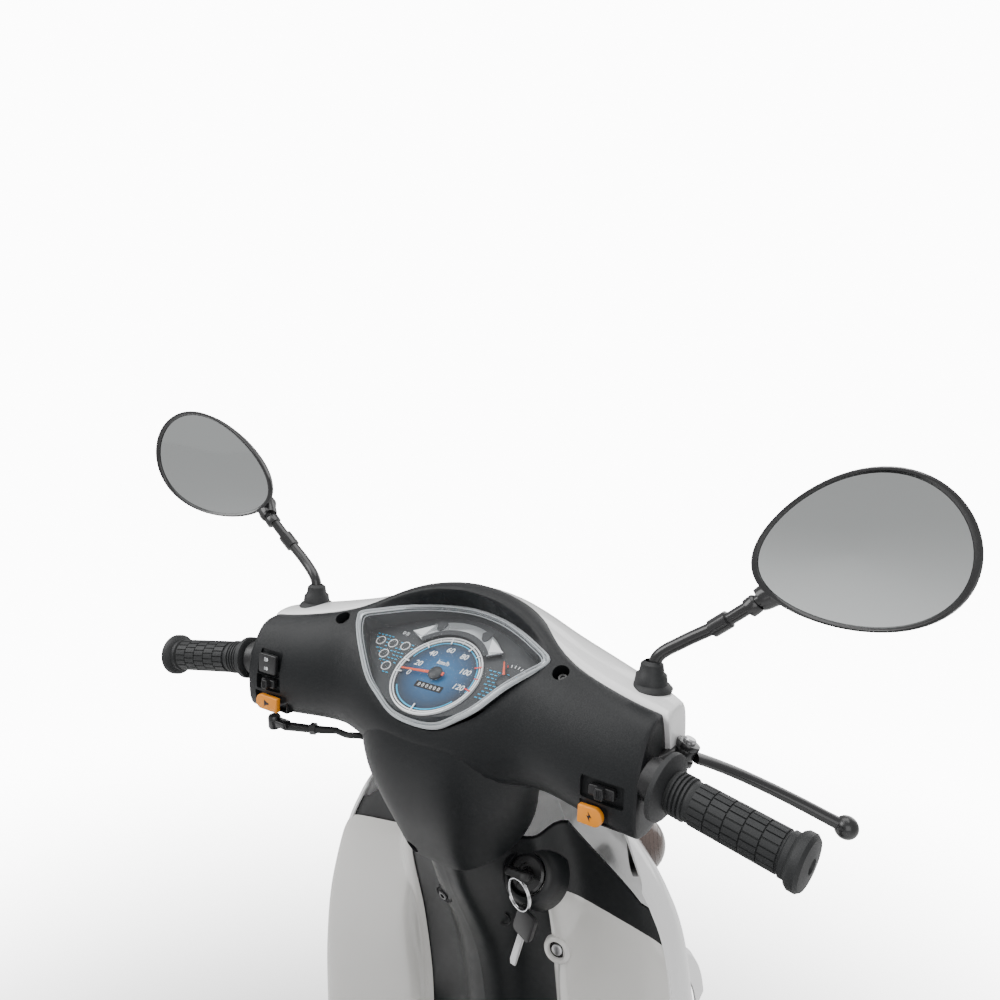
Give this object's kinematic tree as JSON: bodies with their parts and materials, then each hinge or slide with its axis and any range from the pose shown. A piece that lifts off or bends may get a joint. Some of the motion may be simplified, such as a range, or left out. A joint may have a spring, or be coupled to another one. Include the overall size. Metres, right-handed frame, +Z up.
{
  "type": "moped scooter",
  "caption": "Step-through moped scooter on its centre stand: leg shield, instrument binnacle, two mirrors, swing engine unit and lifting seat over a storage bucket.",
  "frame": {"origin": "on the ground at the centre of the bounding box's base, on the scooter's centre plane", "axes": "+X forward, +Y to the rider's left, +Z up; it stands on its centre stand with the steering straight ahead"},
  "size_m": [1.6901, 0.8316, 1.2387],
  "materials": {
    "black_plastic": "fine grain, charcoal black",
    "cast_aluminium": "as cast",
    "chrome": "polished",
    "clear_lens": "clear cover",
    "lamp_lens": "clear lens",
    "mirror_black": "black housing with silvered glass",
    "orange_plastic": "orange",
    "painted_frame": "satin black",
    "red_lens": "red lens",
    "rubber": "black rubber",
    "seat_vinyl": "black grained vinyl",
    "smoked_lens": "smoked lens",
    "steel": "bare steel",
    "tyre_rubber": "tyre",
    "white_plastic": "gloss white"
  },
  "bodies": {
    "chassis": {"main_frame": "painted_frame", "headset_bearings": "steel", "leg_shield_inner": "black_plastic", "knee_panels": "white_plastic", "front_apron": "white_plastic", "front_turn_signals": "smoked_lens", "floorboard": "black_plastic", "belly_cover": "black_plastic", "battery": "black_plastic", "ignition_lock": "steel", "seat_front_cover": "black_plastic", "side_panels": "white_plastic", "tail_lamp": "red_lens", "grab_rail": "chrome", "storage_bucket": "black_plastic", "fuel_tank": "black_plastic", "rear_mudguard": "black_plastic", "shock_body": "painted_frame"},
    "steering": {"steering_stem": "steel", "handlebar": "steel", "rear_handlebar_cover": "black_plastic", "front_handlebar_cover": "white_plastic", "headlight": "lamp_lens", "instrument_housing": "black_plastic", "instrument_lens": "clear_lens", "switch_blocks": "black_plastic", "left_grip": "rubber", "lever_perches": "painted_frame", "brake_cables": "black_plastic"},
    "fork_lower": {"fork_sliders": "cast_aluminium", "front_mudguard": "white_plastic"},
    "front_wheel": {"front_rim": "cast_aluminium", "front_tyre": "tyre_rubber"},
    "engine_unit": {"crankcase": "cast_aluminium", "cylinder_shroud": "black_plastic", "air_filter_box": "black_plastic", "exhaust": "painted_frame"},
    "rear_wheel": {"rear_rim": "cast_aluminium", "rear_tyre": "tyre_rubber"},
    "shock_lower": {"shock_rod": "chrome", "shock_spring": "steel"},
    "seat": {"seat_base": "black_plastic", "seat_cushion": "seat_vinyl"},
    "horn_button": {"horn_button": "orange_plastic"},
    "starter_button": {"starter_button": "orange_plastic"},
    "dip_switch": {"dip_switch": "black_plastic"},
    "signal_switch": {"signal_switch": "black_plastic"},
    "light_switch": {"light_switch": "black_plastic"},
    "speed_needle": {"speed_needle": "orange_plastic"},
    "fuel_needle": {"fuel_needle": "orange_plastic"},
    "throttle_grip": {"throttle_grip": "rubber"},
    "brake_lever_left": {"brake_lever_left": "painted_frame"},
    "brake_lever_right": {"brake_lever_right": "painted_frame"},
    "mirror_stem_left": {"mirror_stem_left": "painted_frame"},
    "mirror_stem_right": {"mirror_stem_right": "painted_frame"},
    "mirror_head_left": {"mirror_head_left": "mirror_black"},
    "mirror_head_right": {"mirror_head_right": "mirror_black"},
    "centre_stand": {"centre_stand": "painted_frame"},
    "ignition_key": {"ignition_key": "black_plastic"},
    "kick_lever": {"kick_lever": "painted_frame"}
  },
  "joints": [
    {"name": "steering_turn", "type": "hinge", "parent": "chassis", "child": "steering", "pos_m": [0.40084, 0, 0.6], "axis": [-0.4462, 0, 0.8949], "range_deg": [-40, 40]},
    {"name": "fork_travel", "type": "slide", "parent": "steering", "child": "fork_lower", "axis": [-0.4462, 0, 0.8949], "range_m": [0, 0.06], "stiffness_N_per_m": 8000, "springref_m": -0.05},
    {"name": "front_wheel_spin", "type": "hinge", "parent": "fork_lower", "child": "front_wheel", "pos_m": [0.62, 0, 0.215], "axis": [0, 1, 0], "continuous": true},
    {"name": "engine_swing", "type": "hinge", "parent": "chassis", "child": "engine_unit", "pos_m": [-0.262, 0, 0.338], "axis": [0, 1, 0], "range_deg": [0, 9], "stiffness_Nm_per_rad": 1900, "springref_deg": -2.29},
    {"name": "rear_wheel_spin", "type": "hinge", "parent": "engine_unit", "child": "rear_wheel", "pos_m": [-0.62, 0, 0.223], "axis": [0, 1, 0], "continuous": true},
    {"name": "shock_travel", "type": "slide", "parent": "chassis", "child": "shock_lower", "axis": [0, 0, 1], "range_m": [0, 0.056], "deforming": ["shock_spring"]},
    {"name": "throttle_turn", "type": "hinge", "parent": "steering", "child": "throttle_grip", "pos_m": [0.194, -0.222, 0.996], "axis": [-0.1303, -0.9817, -0.139], "range_deg": [0, 75], "stiffness_Nm_per_rad": 0.1, "springref_deg": -17.19},
    {"name": "brake_lever_left_pull", "type": "hinge", "parent": "steering", "child": "brake_lever_left", "pos_m": [0.237, 0.227, 1.003], "axis": [0.2213, 0.3096, 0.9247], "range_deg": [0, 18], "stiffness_Nm_per_rad": 1, "springref_deg": -11.46},
    {"name": "brake_lever_right_pull", "type": "hinge", "parent": "steering", "child": "brake_lever_right", "pos_m": [0.237, -0.227, 1.003], "axis": [-0.2213, 0.3096, -0.9247], "range_deg": [0, 18], "stiffness_Nm_per_rad": 1, "springref_deg": -11.46},
    {"name": "horn_press", "type": "slide", "parent": "steering", "child": "horn_button", "axis": [0.995, 0, -0.0998], "range_m": [0, 0.003], "stiffness_N_per_m": 300, "springref_m": -0.002},
    {"name": "starter_press", "type": "slide", "parent": "steering", "child": "starter_button", "axis": [0.995, 0, -0.0998], "range_m": [0, 0.003], "stiffness_N_per_m": 300, "springref_m": -0.002},
    {"name": "dip_rock", "type": "hinge", "parent": "steering", "child": "dip_switch", "pos_m": [0.1773, 0.186, 1.003], "axis": [0, 1, 0], "range_deg": [-8, 8]},
    {"name": "signal_slide", "type": "slide", "parent": "steering", "child": "signal_switch", "axis": [0, 1, 0], "range_m": [-0.006, 0.006]},
    {"name": "light_slide", "type": "slide", "parent": "steering", "child": "light_switch", "axis": [0, 1, 0], "range_m": [-0.006, 0.006]},
    {"name": "key_turn", "type": "hinge", "parent": "chassis", "child": "ignition_key", "pos_m": [0.262, -0.072, 0.822], "axis": [0.866, 0, -0.5], "range_deg": [0, 90]},
    {"name": "speed_needle_turn", "type": "hinge", "parent": "steering", "child": "speed_needle", "pos_m": [0.212, 0, 1.02], "axis": [0.4848, 0, -0.8746], "range_deg": [0, 200], "stiffness_Nm_per_rad": 0.001, "springref_deg": -17.19},
    {"name": "fuel_needle_turn", "type": "hinge", "parent": "steering", "child": "fuel_needle", "pos_m": [0.22075, -0.068, 1.02485], "axis": [0.4848, 0, -0.8746], "range_deg": [0, 60], "stiffness_Nm_per_rad": 0.001, "springref_deg": -17.19},
    {"name": "mirror_stem_left_turn", "type": "hinge", "parent": "steering", "child": "mirror_stem_left", "pos_m": [0.25, 0.191, 1.05], "axis": [0, 0, 1], "range_deg": [-30, 30]},
    {"name": "mirror_stem_right_turn", "type": "hinge", "parent": "steering", "child": "mirror_stem_right", "pos_m": [0.25, -0.191, 1.05], "axis": [0, 0, 1], "range_deg": [-30, 30]},
    {"name": "mirror_head_left_tilt", "type": "hinge", "parent": "mirror_stem_left", "child": "mirror_head_left", "pos_m": [0.262, 0.273, 1.13], "axis": [0, 1, 0], "range_deg": [-8, 8]},
    {"name": "mirror_head_right_tilt", "type": "hinge", "parent": "mirror_stem_right", "child": "mirror_head_right", "pos_m": [0.262, -0.273, 1.13], "axis": [0, 1, 0], "range_deg": [-8, 8]},
    {"name": "seat_open", "type": "hinge", "parent": "chassis", "child": "seat", "pos_m": [-0.03, 0, 0.694], "axis": [0, 1, 0], "range_deg": [0, 72]},
    {"name": "stand_fold", "type": "hinge", "parent": "chassis", "child": "centre_stand", "pos_m": [-0.235, 0, 0.14], "axis": [0, 1, 0], "range_deg": [0, 76]},
    {"name": "kick_start", "type": "hinge", "parent": "engine_unit", "child": "kick_lever", "pos_m": [-0.4, 0, 0.228], "axis": [0, -1, 0], "range_deg": [0, 50], "stiffness_Nm_per_rad": 2, "springref_deg": -22.92}
  ],
  "couplings": [
    {"joint": "shock_travel", "follows": "engine_swing", "m_per_rad": 0.35}
  ]
}
